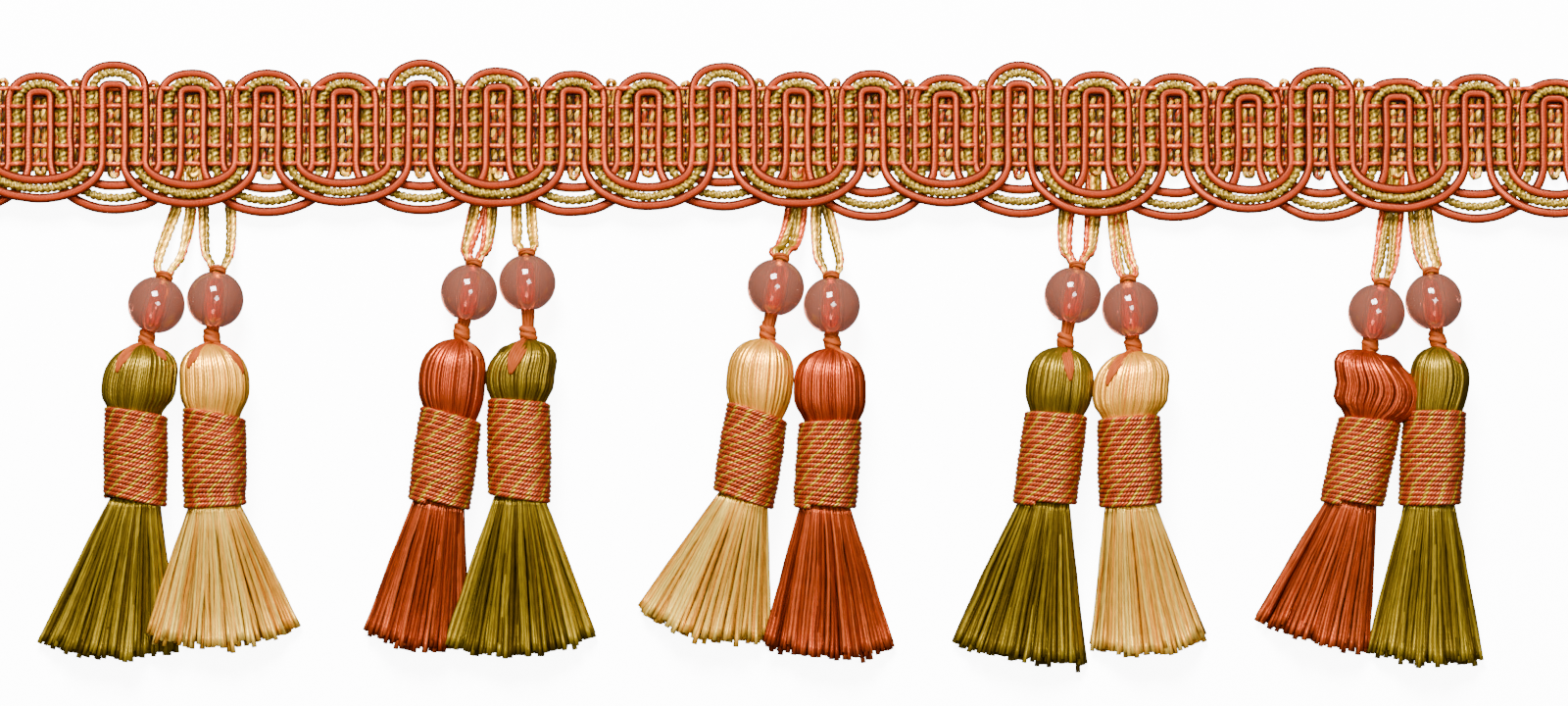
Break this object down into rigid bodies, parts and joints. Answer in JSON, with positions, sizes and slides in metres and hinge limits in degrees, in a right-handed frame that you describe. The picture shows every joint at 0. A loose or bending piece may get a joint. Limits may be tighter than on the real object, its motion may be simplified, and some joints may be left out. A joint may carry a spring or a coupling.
{
  "type": "beaded fringe trim",
  "caption": "Flat trim with a looped cord heading from which beaded tassels hang side by side, for the edge of a curtain or a cushion.",
  "frame": {"origin": "middle of the heading's flat back face, half way along the trim", "axes": "+X along the trim, +Y from the tassels to the heading, +Z out of the face, away from what the trim is sewn to"},
  "size_m": [0.288, 0.104, 0.0111],
  "materials": {
    "ground_yarn": "matte yarn in cream, gold, olive and rust",
    "rust_gimp": "satin wrapped gimp",
    "olive_cord": "satin twisted cord",
    "bead_rose": "clear, glossy, tinted dusty rose",
    "tie_thread": "twisted thread",
    "hanger_yarn": "twisted yarn in mixed colours",
    "collar_cord": "satin three-ply cord",
    "tassel_olive": "satin twisted yarn",
    "tassel_gold": "satin twisted yarn",
    "tassel_rust": "satin twisted yarn"
  },
  "bodies": {
    "root": {"ground_band": "ground_yarn", "front_outer_cord": "rust_gimp", "front_olive_cord": "olive_cord", "front_inner_cord": "rust_gimp", "back_outer_cord": "rust_gimp", "back_olive_cord": "olive_cord", "back_inner_cord": "rust_gimp", "hanger_1l": "hanger_yarn", "bead_1l": "bead_rose", "tie_1l": "tie_thread", "collar_1l": "collar_cord", "tassel_1l": "tassel_olive", "hanger_1r": "hanger_yarn", "bead_1r": "bead_rose", "tie_1r": "tie_thread", "collar_1r": "collar_cord", "tassel_1r": "tassel_gold", "hanger_2l": "hanger_yarn", "bead_2l": "bead_rose", "tie_2l": "tie_thread", "collar_2l": "collar_cord", "tassel_2l": "tassel_rust", "hanger_2r": "hanger_yarn", "bead_2r": "bead_rose", "tie_2r": "tie_thread", "collar_2r": "collar_cord", "tassel_2r": "tassel_olive", "hanger_3l": "hanger_yarn", "bead_3l": "bead_rose", "tie_3l": "tie_thread", "collar_3l": "collar_cord", "tassel_3l": "tassel_gold", "hanger_3r": "hanger_yarn", "bead_3r": "bead_rose", "tie_3r": "tie_thread", "collar_3r": "collar_cord", "tassel_3r": "tassel_rust", "hanger_4l": "hanger_yarn", "bead_4l": "bead_rose", "tie_4l": "tie_thread", "collar_4l": "collar_cord", "tassel_4l": "tassel_olive", "hanger_4r": "hanger_yarn", "bead_4r": "bead_rose", "tie_4r": "tie_thread", "collar_4r": "collar_cord", "tassel_4r": "tassel_gold", "hanger_5l": "hanger_yarn", "bead_5l": "bead_rose", "tie_5l": "tie_thread", "collar_5l": "collar_cord", "tassel_5l": "tassel_rust", "hanger_5r": "hanger_yarn", "bead_5r": "bead_rose", "tie_5r": "tie_thread", "collar_5r": "collar_cord", "tassel_5r": "tassel_olive"}
  },
  "joints": []
}
